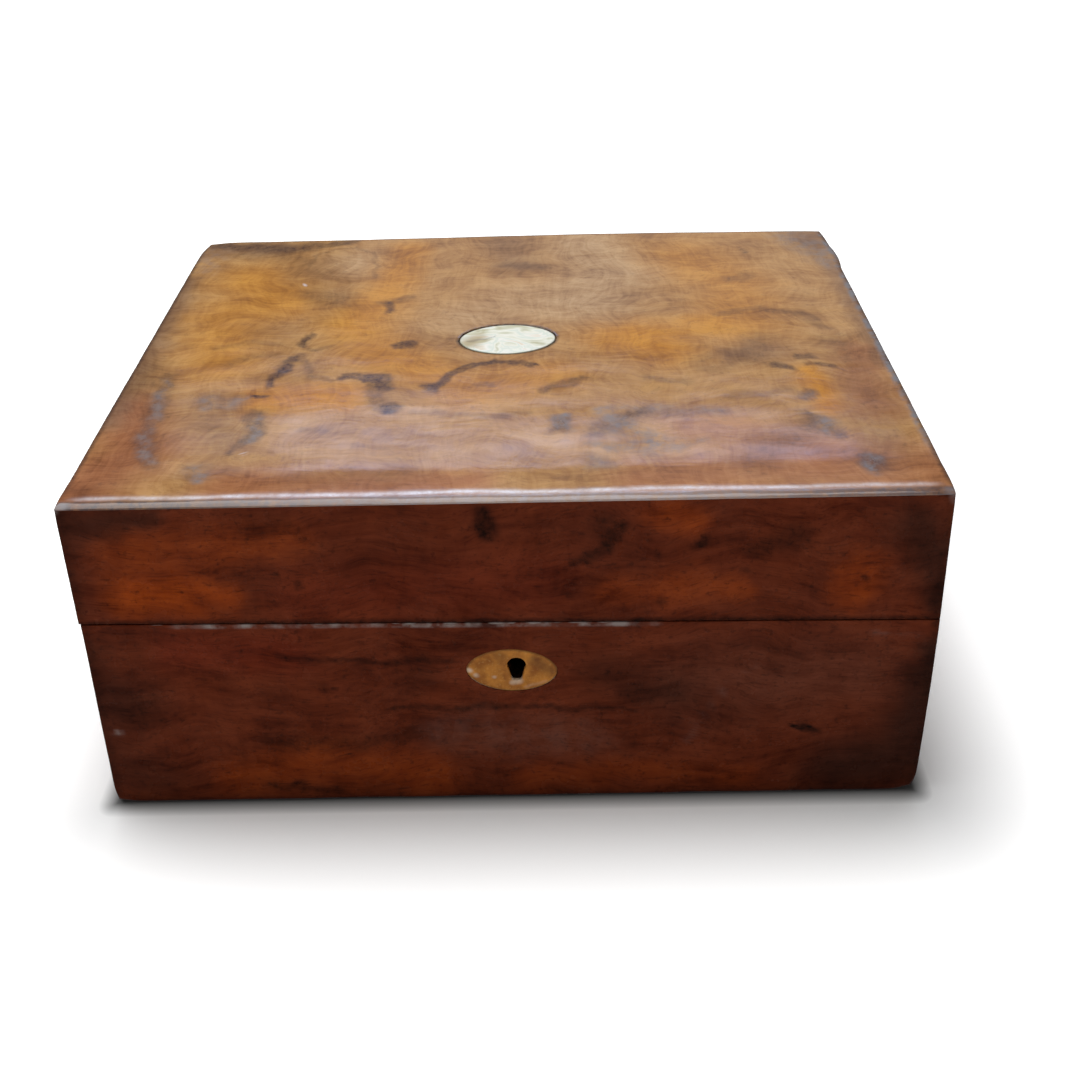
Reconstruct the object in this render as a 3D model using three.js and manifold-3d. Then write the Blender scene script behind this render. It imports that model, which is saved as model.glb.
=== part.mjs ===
// A walnut table box with a mother-of-pearl oval let into its lid and a brass
// escutcheon let into its front. The box is glued up closed from boards mitred at
// the corners, its edges are rounded over, and it is then sawn into a base and a
// lid that rests on it. Units are millimetres. +X is to the right of someone facing
// the keyhole, +Y to the back, +Z up, and the origin is under the middle of the box.

import * as THREE from "three";
import { mergeVertices } from "three/addons/utils/BufferGeometryUtils.js";
import Module from "manifold-3d";

const wasm = await Module();
wasm.setup();

// The closed box
const boxWidth = 254;
const boxDepth = 203;
const boxHeight = 111;
const wallThickness = 9;
const bottomThickness = 7;
const topThickness = 8;
const topLap = 3.2; // upper part of the top board, which laps over the lid's walls

// The saw cut between base and lid, which runs downhill from left to right
const seamHeight = 69.2;
const seamFall = 3.4;

// Rounded edges
const topRound = 2.6;
const cornerRound = 1.6;
const footRound = 1.4;

// The gap that is left where two pieces meet
const jointGap = 0.3;

// Mother-of-pearl oval let into the lid, in plan. A power of 2 is an ellipse and less
// is more pointed, and the turn is in degrees, anticlockwise.
const pearlOval = { length: 33.6, breadth: 23, power: 1.9, turn: 2, x: -0.8, y: 4.2 };
const pearlThickness = 1.2;

// Brass escutcheon let into the front, as seen from there
const plateOval = { length: 27.4, breadth: 15.8, power: 1.75, turn: -3, x: 0.6, y: 51.2 };
const plateThickness = 1.2;

// Keyhole through the escutcheon and the front board
const keyholeX = 2;
const keyholeHeadRadius = 2.7;
const keyholeHeadZ = 53;
const keyholeLegWidth = 4.4;
const keyholeFootZ = 46.2;

// How finely curves are divided
const ovalSides = 64;
const arcSides = 6;

// Room for a cutting solid to run past what it cuts
const overrun = 20;

const topBoard = new THREE.MeshStandardMaterial({ color: "#a5713a", roughness: 0.35, metalness: 0 });
const caseBoard = new THREE.MeshStandardMaterial({ color: "#57291a", roughness: 0.35, metalness: 0 });
const insideBoard = new THREE.MeshStandardMaterial({ color: "#7a5233", roughness: 0.7, metalness: 0 });
const pearl = new THREE.MeshStandardMaterial({ color: "#dfe3d2", roughness: 0.2, metalness: 0 });
const brass = new THREE.MeshStandardMaterial({ color: "#8c6328", roughness: 0.45, metalness: 1 });

// A closed geometry as a solid that can be joined and cut
function solidFrom(geometry) {
  const bare = geometry.clone();
  bare.deleteAttribute("normal");
  bare.deleteAttribute("uv");
  const merged = mergeVertices(bare, 1e-4);
  return new wasm.Manifold(
    new wasm.Mesh({
      numProp: 3,
      vertProperties: merged.attributes.position.array,
      triVerts: new Uint32Array(merged.index.array),
    }),
  );
}

function meshFrom(name, solid, material) {
  const { numProp, vertProperties, triVerts } = solid.getMesh();
  const corners = new THREE.InterleavedBuffer(vertProperties, numProp);
  const indexed = new THREE.BufferGeometry()
    .setAttribute("position", new THREE.InterleavedBufferAttribute(corners, 3, 0))
    .setIndex(new THREE.BufferAttribute(triVerts, 1));
  const geometry = indexed.toNonIndexed();
  geometry.computeVertexNormals();
  const mesh = new THREE.Mesh(geometry, material);
  mesh.name = name;
  return mesh;
}

// A shape drawn in plan, standing from one height to another
function upright(shape, fromZ, toZ) {
  const geometry = new THREE.ExtrudeGeometry(shape, {
    depth: toZ - fromZ,
    bevelEnabled: false,
    curveSegments: arcSides,
  });
  return solidFrom(geometry.translate(0, 0, fromZ));
}

// A shape drawn as seen from the front, running back from one depth to another
function runningBack(shape, fromY, toY) {
  const geometry = new THREE.ExtrudeGeometry(shape, {
    depth: toY - fromY,
    bevelEnabled: false,
    curveSegments: arcSides,
  });
  return solidFrom(geometry.rotateX(Math.PI / 2).translate(0, toY, 0));
}

// A shape drawn as seen from the right, running across the whole width
function runningAcross(shape) {
  const reach = boxWidth + 2 * overrun;
  const geometry = new THREE.ExtrudeGeometry(shape, {
    depth: reach,
    bevelEnabled: false,
    curveSegments: arcSides,
  });
  const turned = geometry.rotateX(Math.PI / 2).rotateZ(Math.PI / 2);
  return solidFrom(turned.translate(-reach / 2, 0, 0));
}

// A rectangle with rounded corners: lowRound at its low edge, highRound at its high one
function roundedRectangle(left, low, right, high, lowRound, highRound) {
  const quarter = Math.PI / 2;
  const shape = new THREE.Shape();
  shape.moveTo(left + lowRound, low);
  shape.lineTo(right - lowRound, low);
  shape.absarc(right - lowRound, low + lowRound, lowRound, -quarter, 0);
  shape.lineTo(right, high - highRound);
  shape.absarc(right - highRound, high - highRound, highRound, 0, quarter);
  shape.lineTo(left + highRound, high);
  shape.absarc(left + highRound, high - highRound, highRound, quarter, 2 * quarter);
  shape.lineTo(left, low + lowRound);
  shape.absarc(left + lowRound, low + lowRound, lowRound, 2 * quarter, 3 * quarter);
  return shape;
}

function polygon(points) {
  return new THREE.Shape(points.map(([a, b]) => new THREE.Vector2(a, b)));
}

// An oval in its place, grown all round by the margin
function ovalShape({ length, breadth, power, turn, x, y }, margin) {
  const along = length / 2 + margin;
  const across = breadth / 2 + margin;
  const middle = new THREE.Vector2(x, y);
  const bend = (value) => Math.sign(value) * Math.abs(value) ** (2 / power);
  const points = Array.from({ length: ovalSides }, (_, i) => {
    const angle = (2 * Math.PI * i) / ovalSides;
    const point = new THREE.Vector2(along * bend(Math.cos(angle)), across * bend(Math.sin(angle)));
    return point.add(middle).rotateAround(middle, THREE.MathUtils.degToRad(turn));
  });
  return new THREE.Shape(points);
}

// The whole closed box, as a block with its edges rounded over
function closedBlock() {
  const x = boxWidth / 2;
  const y = boxDepth / 2;
  const plan = roundedRectangle(-x, -y, x, y, cornerRound, cornerRound);
  const front = roundedRectangle(-x, 0, x, boxHeight, footRound, topRound);
  const side = roundedRectangle(-y, 0, y, boxHeight, footRound, topRound);
  return upright(plan, -overrun, boxHeight + overrun)
    .intersect(runningBack(front, -y - overrun, y + overrun))
    .intersect(runningAcross(side));
}

// Height of the saw cut at a place across the width
function seamAt(x) {
  return seamHeight - (seamFall * x) / boxWidth;
}

// Everything under the saw cut, or everything over it as far as the top board's lap
function belowSeam() {
  const x = boxWidth / 2 + overrun;
  const profile = polygon([
    [-x, -overrun],
    [x, -overrun],
    [x, seamAt(x) - jointGap / 2],
    [-x, seamAt(-x) - jointGap / 2],
  ]);
  return runningBack(profile, -boxDepth, boxDepth);
}

function aboveSeam() {
  const x = boxWidth / 2 + overrun;
  const rim = boxHeight - topLap - jointGap;
  const profile = polygon([
    [-x, seamAt(-x) + jointGap / 2],
    [x, seamAt(x) + jointGap / 2],
    [x, rim],
    [-x, rim],
  ]);
  return runningBack(profile, -boxDepth, boxDepth);
}

// The room of one wall, with 45 degree mitres at both ends. The plan is drawn for a
// wall at the front and turned to the side where it stands.
function wallRoom(side) {
  const across = side === "front" || side === "back";
  const halfLength = (across ? boxWidth : boxDepth) / 2 - jointGap / Math.SQRT2;
  const halfDepth = (across ? boxDepth : boxWidth) / 2;
  const quarterTurns = { front: 0, right: 1, back: 2, left: 3 }[side];
  const plan = polygon([
    [-halfLength - overrun, -halfDepth - overrun],
    [halfLength + overrun, -halfDepth - overrun],
    [halfLength - wallThickness, -halfDepth + wallThickness],
    [-halfLength + wallThickness, -halfDepth + wallThickness],
  ]);
  const geometry = new THREE.ExtrudeGeometry(plan, { depth: boxHeight, bevelEnabled: false });
  return solidFrom(geometry.rotateZ((quarterTurns * Math.PI) / 2));
}

// The keyhole: a round head over a leg with a round foot, right through the wall
function keyhole() {
  const halfLeg = keyholeLegWidth / 2;
  const spread = Math.acos(halfLeg / keyholeHeadRadius);
  const shape = new THREE.Shape();
  shape.absarc(keyholeX, keyholeHeadZ, keyholeHeadRadius, -spread, Math.PI + spread);
  shape.absarc(keyholeX, keyholeFootZ + halfLeg, halfLeg, Math.PI, 2 * Math.PI);
  return runningBack(shape, -boxDepth / 2 - overrun, -boxDepth / 2 + wallThickness + overrun);
}

const block = closedBlock();
const under = belowSeam();
const over = aboveSeam();
const key = keyhole();

const box = new THREE.Group();
const base = new THREE.Group();
const lid = new THREE.Group();
box.add(base, lid);

// Base: four walls and the bottom board let in between them
const face = -boxDepth / 2;
const seatFloor = face + plateThickness + jointGap;
const plateSeat = runningBack(ovalShape(plateOval, jointGap), face - overrun, seatFloor);
for (const side of ["front", "back", "left", "right"]) {
  let wall = block.intersect(wallRoom(side)).intersect(under);
  if (side === "front") {
    wall = wall.subtract(plateSeat).subtract(key);
  }
  base.add(meshFrom(`base_${side}_board`, wall, caseBoard));
}
const insideX = boxWidth / 2 - wallThickness - jointGap;
const insideY = boxDepth / 2 - wallThickness - jointGap;
const insidePlan = polygon([
  [-insideX, -insideY],
  [insideX, -insideY],
  [insideX, insideY],
  [-insideX, insideY],
]);
base.add(meshFrom("base_bottom_board", upright(insidePlan, 0, bottomThickness), insideBoard));

const plate = runningBack(ovalShape(plateOval, 0), face, face + plateThickness);
base.add(meshFrom("keyhole_escutcheon", plate.subtract(key), brass));

// Lid: four walls, and the top board that laps over them and holds the pearl
for (const side of ["front", "back", "left", "right"]) {
  const wall = block.intersect(wallRoom(side)).intersect(over);
  lid.add(meshFrom(`lid_${side}_board`, wall, caseBoard));
}
const lapPlan = polygon([
  [-boxWidth, -boxDepth],
  [boxWidth, -boxDepth],
  [boxWidth, boxDepth],
  [-boxWidth, boxDepth],
]);
const lapRoom = upright(lapPlan, boxHeight - topLap, boxHeight + overrun);
const tongue = upright(insidePlan, boxHeight - topThickness, boxHeight - topLap / 2);
const pearlFloor = boxHeight - pearlThickness;
const pearlSeat = upright(ovalShape(pearlOval, jointGap), pearlFloor - jointGap, boxHeight + overrun);
const top = block.intersect(lapRoom).add(tongue).subtract(pearlSeat);
lid.add(meshFrom("lid_top_board", top, topBoard));
lid.add(meshFrom("pearl_oval", upright(ovalShape(pearlOval, 0), pearlFloor, boxHeight), pearl));

export default box;
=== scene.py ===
import math

import bpy
import numpy as np
from mathutils import Matrix, Quaternion, Vector


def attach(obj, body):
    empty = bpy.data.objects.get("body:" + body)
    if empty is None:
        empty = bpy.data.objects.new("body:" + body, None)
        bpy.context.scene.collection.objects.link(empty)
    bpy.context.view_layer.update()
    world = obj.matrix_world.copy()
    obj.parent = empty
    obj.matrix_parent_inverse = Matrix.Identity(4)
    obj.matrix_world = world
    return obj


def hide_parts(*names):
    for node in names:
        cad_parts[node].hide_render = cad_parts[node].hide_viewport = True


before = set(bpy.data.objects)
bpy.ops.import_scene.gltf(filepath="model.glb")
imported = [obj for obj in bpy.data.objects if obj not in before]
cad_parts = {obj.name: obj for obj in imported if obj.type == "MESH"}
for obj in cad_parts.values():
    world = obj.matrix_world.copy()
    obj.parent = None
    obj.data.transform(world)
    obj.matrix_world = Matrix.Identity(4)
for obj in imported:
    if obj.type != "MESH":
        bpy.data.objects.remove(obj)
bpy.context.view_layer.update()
mm = 0.001
print("frame loaded")

# The closed box in millimetres. It is glued up whole, rounded over and then sawn into base
# and lid, and the cut falls a little from left to right.
case = dict(
    width=254.0, depth=203.0, height=111.0,
    wall=9.0, bottom=7.0, top=8.0, lap=0.9,
    seam=69.2, seamFall=3.4, seamGap=0.3, jointGap=0.06,
    setIn=0.5,  # the base stands in from the lid by this at the left of the seam
    # the front top edge is rounded much further in than down
    topRound=0.9, frontRound=1.0, frontStretch=2.6, cornerRound=0.8, footRound=1.3, leastRound=0.3,
    uneven=[(0.10, 23.0), (0.05, 7.0)],  # ripples in the edges' wear: height and wavelength
    bowed=(0.6, 0.95), swollen=0.85, backRise=0.7, frontRise=0.9,  # how the boards have moved with age
    # corners that are worn rounder: side, end, height, extra radius, how far the wear reaches
    wornCorners=[
        (-1, 1, 111.0, 2.6, 7.0), (1, 1, 111.0, 0.6, 6.0), (-1, -1, 111.0, 0.5, 4.0), (1, -1, 111.0, 0.5, 4.0),
        (-1, -1, 0.0, 2.0, 4.0), (1, -1, 0.0, 3.2, 4.5), (-1, 1, 0.0, 2.0, 7.0), (1, 1, 0.0, 1.4, 7.0),
    ],
    # a lifted edge on the right, near the back: middle along the side, half length, how far it stands out
    lifted=(74.0, 11.0, 0.9),
)


# Smooth unevenness between about -1 and 1: six sine waves of like length in chance directions, added up
def ripple(a, b, wavelength, seed):
    chance = np.random.default_rng(seed)
    total = np.zeros_like(a)
    for heading, phase, stretch in chance.uniform((0.0, 0.0, 0.7), (2 * math.pi, 2 * math.pi, 1.5), (6, 3)):
        total += np.sin(
            (a * math.cos(heading) + b * math.sin(heading)) * 2 * math.pi / (wavelength * stretch) + phase
        )
    return total / 3.0


# Goes from 0 at the first value to 1 at the second with level ends, whichever of them is larger
def smooth(value, zero, one):
    t = np.clip((value - zero) / (one - zero), 0.0, 1.0)
    return t * t * (3.0 - 2.0 * t)


# Places along an edge from -length/2 to length/2, close together near both ends
def spread(length, step, endStep, endReach):
    middle = np.linspace(
        -length / 2 + endReach, length / 2 - endReach, max(2, round((length - 2 * endReach) / step) + 1)
    )
    tip = np.linspace(0.0, endReach, round(endReach / endStep), endpoint=False)
    return np.concatenate([tip - length / 2, middle, (length / 2 - tip)[::-1]])


# A rectangle's edge as one closed line, from its first corner along the first places
def rectangleLoop(first, second):
    n, m = len(first) - 1, len(second) - 1
    one = np.concatenate([first[:-1], np.full(m, first[-1]), first[:0:-1], np.full(m, first[0])])
    two = np.concatenate([np.full(n, second[0]), second[:-1], np.full(n, second[-1]), second[:0:-1]])
    return one, two


# Two faces meet at right angles, and a point lies a and b inside them. Points nearer to the arris than
# an arc of the radius are drawn in to that arc.
def ease(a, b, radius):
    u, w = radius - a, radius - b
    reach = np.hypot(u, w)
    past = (u > 0) & (w > 0) & (reach > radius)
    scale = np.where(past, radius / np.maximum(reach, 1e-6), 1.0)
    return np.where(past, radius - u * scale, a), np.where(past, radius - w * scale, b)


# The extra radius that wear gives the box's edges: most at the listed corners, and a little unevenness
def extraWear(p):
    (wide, wideLength), (fine, fineLength) = case["uneven"]
    extra = wide * ripple(p[:, 0] + p[:, 2], p[:, 1] - p[:, 2], wideLength, 11)
    extra += fine * ripple(p[:, 0], p[:, 1] + p[:, 2], fineLength, 12)
    for side, end, height, more, reach in case["wornCorners"]:
        corner = np.array([side * case["width"] / 2, end * case["depth"] / 2, height])
        extra += more * np.exp(-np.sum((p - corner) ** 2, axis=1) / reach ** 2)
    return extra


# Rounds the closed box's outer edges: the upright corners, then the top edges, then the foot
def roundBox(p):
    halfX, halfY, height = case["width"] / 2, case["depth"] / 2, case["height"]
    extra = extraWear(p)
    inX, inY, inTop = halfX - np.abs(p[:, 0]), halfY - np.abs(p[:, 1]), height - p[:, 2]
    inX, inY = ease(inX, inY, np.maximum(case["cornerRound"] + extra, case["leastRound"]))
    topRadius = np.maximum(case["topRound"] + extra, case["leastRound"])
    footRadius = np.maximum(case["footRound"] + extra, case["leastRound"])
    inX, inTop = ease(inX, inTop, topRadius)
    stretch = np.where(p[:, 1] < 0, case["frontStretch"], 1.0)
    frontRadius = topRadius + case["frontRound"] - case["topRound"]
    inY, inTop = ease(inY / stretch, inTop, np.where(p[:, 1] < 0, frontRadius, topRadius))
    inY = inY * stretch
    inX, inFoot = ease(inX, height - inTop, footRadius)
    inY, inFoot = ease(inY, inFoot, footRadius)
    return np.stack([np.sign(p[:, 0]) * (halfX - inX), np.sign(p[:, 1]) * (halfY - inY), inFoot], -1)


# The lifted edge: a low swelling of the right side, highest at the lid's top edge
def liftEdge(p):
    middle, half, height = case["lifted"]
    along = np.clip(1.0 - ((p[:, 1] - middle) / half) ** 2, 0.0, 1.0)
    up = smooth(p[:, 2], case["height"] - 16.0, case["height"] - 5.0)
    near = smooth(p[:, 0], case["width"] / 2 - 4.0, case["width"] / 2 - 0.6)
    q = p.copy()
    q[:, 0] += height * along * up * near
    return q


# The base stands in from the lid at the left: its points move right by less and less over the first 30 mm, most at
# the seam and not at all at the foot
def setInBase(p):
    q = p.copy()
    atLeft = smooth(p[:, 0], 30.0 - case["width"] / 2, -case["width"] / 2)
    q[:, 0] += case["setIn"] * atLeft * np.clip(p[:, 2] / case["seam"], 0.0, 1.0)
    return q


# The boards have moved with age: the lid's sides bow out between the corners, the right side swells at half height,
# and the lid's back edge and front margin stand a little high
def settle(p):
    x, y, z = p[:, 0], p[:, 1], p[:, 2]
    high, between = smooth(z, 80.0, case["height"]), 1.0 - np.clip(np.abs(2 * y / case["depth"]), 0.0, 1.0) ** 8
    left = 0.15 + case["bowed"][0] * high * between
    right = case["swollen"] * np.exp(-((z - 52.0) / 45.0) ** 2) + case["bowed"][1] * high * between
    rise = case["backRise"] * np.exp(-((x - 35.0) / 70.0) ** 2) * smooth(y, 60.0, case["depth"] / 2)
    rise = rise + case["frontRise"] * smooth(y, -80.0, -100.0)
    q = p.copy()
    q[:, 0] += np.where(x < 0, -left, right) * smooth(np.abs(x), 80.0, case["width"] / 2)
    q[:, 2] += rise * smooth(z, 76.0, 109.0)
    return q


# The height of the saw cut: a straight line that falls from left to right
def seamAt(x):
    return case["seam"] - case["seamFall"] * x / case["width"]


# A skin over a stack of closed lines, as points and faces. A ring's last line joins its first, and otherwise
# both ends are closed by a fan from their middles. The faces are turned outwards by the sign of the volume.
def loft(lines, ring=False):
    count, around = lines.shape[:2]
    points = lines.reshape(-1, 3)
    index = np.arange(count * around).reshape(count, around)
    if ring:
        index = np.vstack([index, index[:1]])
    a, b = index[:-1], index[1:]
    quads = np.stack([a, np.roll(a, -1, 1), np.roll(b, -1, 1), b], -1).reshape(-1, 4)
    fans = np.zeros((0, 3), int)
    if not ring:
        points = np.vstack([points, lines[0].mean(0), lines[-1].mean(0)])
        first, last = index[0], index[-1]
        hub = np.full(around, count * around)
        firstFan = np.stack([hub, np.roll(first, -1), first], -1)
        fans = np.vstack([firstFan, np.stack([hub + 1, last, np.roll(last, -1)], -1)])
    triangles = np.vstack([quads[:, :3], quads[:, [0, 2, 3]], fans])
    corners = points[triangles] - points.mean(0)
    if np.einsum("ij,ij->i", corners[:, 0], np.cross(corners[:, 1], corners[:, 2])).sum() < 0:
        quads, fans = quads[:, ::-1], fans[:, ::-1]
    return points, quads.tolist() + fans.tolist()


# What the strokes leave: small marks on the polish, some of them painted shade, highlight and reflection, and wide
# zones of another tone of wood
markKinds = ["dark", "bloomAndReflection", "wearAndHighlight", "grimeAndShade"]
zoneKinds = ["gold", "pale", "red", "brown"]


# Every kind of mark and zone at nought
def noMarks(count):
    return {kind: np.zeros(count) for kind in markKinds + zoneKinds}


# Soft brush strokes on a plane. A stroke is its strength, the softness of its edge and points with half widths, and
# it is full where the distance to its line is under the half width. Strokes of a kind cover each other.
def paint(a, b, strokes, waver=0.9):
    wa = a + waver * ripple(a, b, 11.0, 21) + 0.4 * waver * ripple(a, b, 4.0, 22)
    wb = b + waver * ripple(a, b, 11.0, 23) + 0.4 * waver * ripple(a, b, 4.0, 24)
    layers = noMarks(len(a))
    for kind, group in strokes.items():
        clear = np.ones_like(a)
        for strength, softness, path in group:
            path = np.array(path, float)
            if len(path) == 1:
                path = np.vstack([path, path + (0.01, 0.0, 0.0)])
            share = np.full_like(a, 1e9)
            for start, end in zip(path[:-1], path[1:]):
                run = end[:2] - start[:2]
                t = np.clip(((wa - start[0]) * run[0] + (wb - start[1]) * run[1]) / run.dot(run), 0.0, 1.0)
                gap = np.hypot(wa - start[0] - t * run[0], wb - start[1] - t * run[1])
                share = np.minimum(share, gap / (start[2] + t * (end[2] - start[2])))
            clear *= 1.0 - strength * smooth(share, 1.0 + softness, 1.0 - softness)
        layers[kind] = 1.0 - clear
    return layers


# An sRGB hex colour as linear red, green and blue with full alpha
def linear(hexColour):
    value = np.array([int(hexColour[i:i + 2], 16) for i in (1, 3, 5)]) / 255.0
    return tuple(np.where(value <= 0.04045, value / 12.92, ((value + 0.055) / 1.055) ** 2.4)) + (1.0,)


# Adds a node: its settings, then its inputs, each a value or the output that feeds it, then the stops of a ramp
def addNode(tree, kind, inputs=None, stops=(), **settings):
    node = tree.nodes.new(kind)
    for name, value in settings.items():
        setattr(node, name, value)
    for name, value in (inputs or {}).items():
        if isinstance(value, bpy.types.NodeSocket):
            tree.links.new(value, node.inputs[name])
        else:
            node.inputs[name].default_value = value
    for i, (stop, colour) in enumerate(stops):
        element = node.color_ramp.elements[i] if i < 2 else node.color_ramp.elements.new(stop)
        element.position, element.color = stop, linear(colour)
    return node


# Puts points in millimetres and their faces into a mesh, with the marks and the zones as colours at its points
def makePiece(name, skin, material, node, layers, sharp=50.0):
    points, faces = skin
    mesh = bpy.data.meshes.new(name)
    mesh.from_pydata((points * mm).tolist(), [], faces)
    for attribute, kinds in (("marks", markKinds), ("zones", zoneKinds)):
        layer = mesh.attributes.new(attribute, "FLOAT_COLOR", "POINT")
        cover = np.clip(np.stack([layers[kind] for kind in kinds], -1), 0.0, 1.0)
        layer.data.foreach_set("color", cover.astype(np.float32).ravel())
    mesh.shade_smooth()
    mesh.set_sharp_from_angle(angle=math.radians(sharp))
    mesh.materials.append(material)
    mesh.update()
    piece = bpy.data.objects.new(name, mesh)
    bpy.context.scene.collection.objects.link(piece)
    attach(piece, "root")
    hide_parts(node)
    print("made", name, len(mesh.vertices), "points", len(faces), "faces")
    return piece


# Walnut under old French polish: a smooth film of shellac over brown wood with long wavy grain, cloudy figure, a faint
# curl across the grain and fine dark pores. Zones change the wood's tone, and marks lie on the film; some marks are
# painted shade, highlight and reflection.
def polishedWalnut(name, look):
    material = bpy.data.materials.new(name)
    material.use_nodes = True
    tree = material.node_tree
    tree.nodes.clear()
    place = addNode(tree, "ShaderNodeTexCoord").outputs["Object"]
    inMm = addNode(tree, "ShaderNodeVectorMath", {0: place, "Scale": 1000.0}, operation="SCALE").outputs[0]
    turned = addNode(
        tree, "ShaderNodeMapping", {"Vector": inMm, "Rotation": (0.0, 0.0, look["grainTurn"])}
    ).outputs[0]
    swirl = addNode(tree, "ShaderNodeTexNoise", {"Vector": turned, "Scale": 1 / look["swirlSize"], "Detail": 2.0})
    sway = addNode(
        tree, "ShaderNodeVectorMath", {0: swirl.outputs["Color"], 1: (0.5, 0.5, 0.5)}, operation="SUBTRACT"
    )
    sway = addNode(tree, "ShaderNodeVectorMath", {0: sway.outputs[0], "Scale": look["swirlReach"]}, operation="SCALE")
    flow = addNode(tree, "ShaderNodeVectorMath", {0: turned, 1: sway.outputs[0]}, operation="ADD").outputs[0]

    # grain, figure and curl: each is a noise as long and as wide in millimetres as the settings say
    tone = 0.0
    fields = {}
    for part in ("grain", "figure", "curl"):
        long, wide, share = look[part]
        stretched = addNode(tree, "ShaderNodeMapping", {"Vector": flow, "Scale": (1 / long, 1 / wide, 1 / wide)})
        noise = addNode(
            tree, "ShaderNodeTexNoise",
            {"Vector": stretched.outputs[0], "Scale": 1.0, "Detail": 5.0, "Roughness": 0.6}
        )
        fields[part] = noise.outputs["Fac"]
        tone = addNode(
            tree, "ShaderNodeMath", {0: noise.outputs["Fac"], 1: share, 2: tone}, operation="MULTIPLY_ADD"
        ).outputs[0]
    shade = addNode(tree, "ShaderNodeValToRGB", {"Fac": tone}, look["shade"]).outputs["Color"]

    zones = addNode(tree, "ShaderNodeAttribute", attribute_name="zones")
    split = addNode(tree, "ShaderNodeSeparateColor", {"Color": zones.outputs["Color"]})
    colour = linear(look["wood"])
    for kind, cover in zip(zoneKinds, (split.outputs[0], split.outputs[1], split.outputs[2], zones.outputs["Alpha"])):
        colour = addNode(
            tree, "ShaderNodeMix", {0: cover, 6: colour, 7: linear(look[kind])}, data_type="RGBA"
        ).outputs[2]
    colour = addNode(
        tree, "ShaderNodeMix", {0: 1.0, 6: colour, 7: shade}, data_type="RGBA", blend_type="MULTIPLY"
    ).outputs[2]

    # pores: fine short dark lines along the grain
    strokes = addNode(tree, "ShaderNodeMapping", {"Vector": flow, "Scale": (1 / 6.0, 1 / 0.5, 1 / 0.5)})
    pores = addNode(tree, "ShaderNodeTexNoise", {"Vector": strokes.outputs[0], "Scale": 1.0, "Detail": 2.0})
    pores = addNode(
        tree, "ShaderNodeMapRange",
        {"Value": pores.outputs["Fac"], "From Min": 0.55, "From Max": 0.75, "To Max": look["pores"]}
    )
    colour = addNode(
        tree, "ShaderNodeMix", {0: pores.outputs[0], 6: colour, 7: linear(look["dark"])}, data_type="RGBA"
    ).outputs[2]

    # dark flecks two millimetres across, then the marks, some of them painted shade, highlight and reflection: bloom
    # and painted reflection lie in patches and the rest is broken up by the flecks
    marks = addNode(tree, "ShaderNodeAttribute", attribute_name="marks")
    split = addNode(tree, "ShaderNodeSeparateColor", {"Color": marks.outputs["Color"]})
    specks = addNode(tree, "ShaderNodeTexNoise", {"Vector": inMm, "Scale": 1 / 2.2, "Detail": 4.0, "Roughness": 0.65})
    broken = addNode(
        tree, "ShaderNodeMapRange",
        {"Value": specks.outputs["Fac"], "From Min": 0.34, "From Max": 0.66, "To Min": 0.62, "To Max": 1.15}
    )
    patches = addNode(tree, "ShaderNodeTexNoise", {"Vector": inMm, "Scale": 1 / 5.0, "Detail": 4.0, "Roughness": 0.6})
    patches = addNode(
        tree, "ShaderNodeMapRange",
        {"Value": patches.outputs["Fac"], "From Min": 0.40, "From Max": 0.62, "To Min": 0.1, "To Max": 1.3}
    )
    flecks = addNode(
        tree, "ShaderNodeMapRange",
        {"Value": specks.outputs["Fac"], "From Min": 0.57, "From Max": 0.72, "To Max": look["flecks"]}
    )
    colour = addNode(
        tree, "ShaderNodeMix", {0: flecks.outputs[0], 6: colour, 7: linear(look["dark"])}, data_type="RGBA"
    ).outputs[2]
    for kind, cover in zip(markKinds, (split.outputs[0], split.outputs[1], split.outputs[2], marks.outputs["Alpha"])):
        breaker = patches if kind == "bloomAndReflection" else broken
        cover = addNode(
            tree, "ShaderNodeMath", {0: cover, 1: breaker.outputs[0]}, operation="MULTIPLY", use_clamp=True
        )
        colour = addNode(
            tree, "ShaderNodeMix", {0: cover.outputs[0], 6: colour, 7: linear(look[kind])}, data_type="RGBA"
        ).outputs[2]

    # the film is duller where it bloomed, and smudged all over by handling
    smudge = addNode(tree, "ShaderNodeTexNoise", {"Vector": inMm, "Scale": 1 / 14.0, "Detail": 4.0, "Roughness": 0.6})
    gloss = addNode(
        tree, "ShaderNodeMapRange",
        {
            "Value": smudge.outputs["Fac"], "From Min": 0.3, "From Max": 0.7, "To Min": look["gloss"][0],
            "To Max": look["gloss"][1]
        }
    )
    gloss = addNode(
        tree, "ShaderNodeMath", {0: split.outputs[1], 1: 0.18, 2: gloss.outputs[0]}, operation="MULTIPLY_ADD"
    )
    height = addNode(
        tree, "ShaderNodeMath", {0: pores.outputs[0], 1: -0.6, 2: fields["grain"]}, operation="MULTIPLY_ADD"
    )
    bump = addNode(
        tree, "ShaderNodeBump", {"Height": height.outputs[0], "Strength": look["relief"], "Distance": 0.0003}
    )
    shader = addNode(tree, "ShaderNodeBsdfPrincipled", {
        "Base Color": colour, "Roughness": gloss.outputs[0], "Normal": bump.outputs[0],
        "IOR": 1.5, "Specular IOR Level": look["shine"],
    })
    addNode(tree, "ShaderNodeOutputMaterial", {"Surface": shader.outputs[0]})
    print("mixed", name)
    return material


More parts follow.
